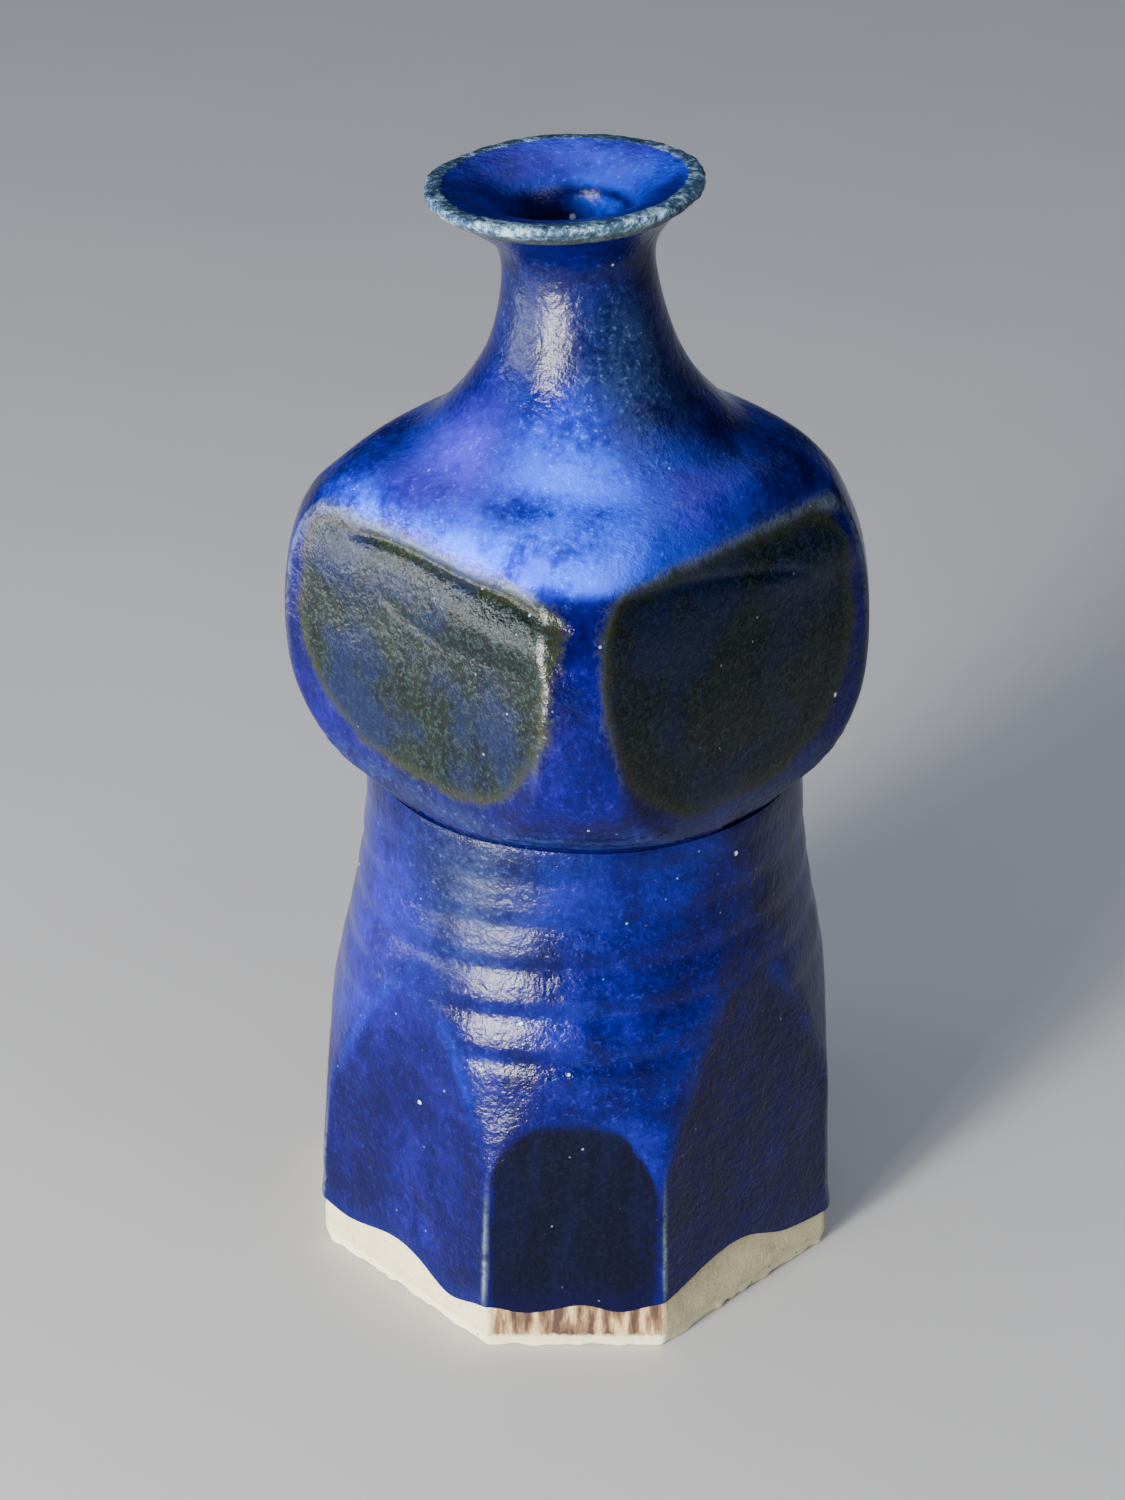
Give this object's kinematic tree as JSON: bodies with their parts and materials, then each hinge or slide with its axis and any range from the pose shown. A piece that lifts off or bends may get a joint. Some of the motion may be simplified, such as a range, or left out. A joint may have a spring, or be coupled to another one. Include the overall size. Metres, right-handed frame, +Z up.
{
  "type": "sake bottle",
  "caption": "Stoneware sake bottle: flaring foot with cut facets, waisted body, bulb paddled square with dark panels, slim neck and dished round mouth.",
  "frame": {"origin": "middle of the foot's ring, on the surface it stands on", "axes": "+Z up along the bottle to its mouth; -Y towards the viewer, through a corner of the squared bulb and the middle of a narrow foot facet; +X to the viewer's right"},
  "size_m": [0.0822, 0.0822, 0.1665],
  "materials": {
    "clay": "matte, fine cream stoneware, toasted brown where it was nearest the fire",
    "slip": "matte",
    "blue_glaze": "satin gloss, mottled cobalt with lighter blue breaking at ridges and mouth",
    "lining_glaze": "satin gloss",
    "dark_glaze": "satin, granular black-green with olive edges",
    "amber_glaze": "satin, dark amber to green-black with dark streaks"
  },
  "bodies": {
    "root": {"foot_section": "clay", "bulb_section": "clay", "neck_section": "clay", "waist_slip_seam": "slip", "neck_slip_seam": "slip", "foot_glaze": "blue_glaze", "bulb_glaze": "blue_glaze", "neck_glaze": "blue_glaze", "lining_glaze": "lining_glaze", "bulb_panel_front_left": "dark_glaze", "bulb_panel_front_right": "dark_glaze", "bulb_panel_back_left": "dark_glaze", "bulb_panel_back_right": "dark_glaze", "foot_panel_front": "amber_glaze", "foot_panel_right": "amber_glaze", "foot_panel_back": "amber_glaze", "foot_panel_left": "amber_glaze"}
  },
  "joints": []
}
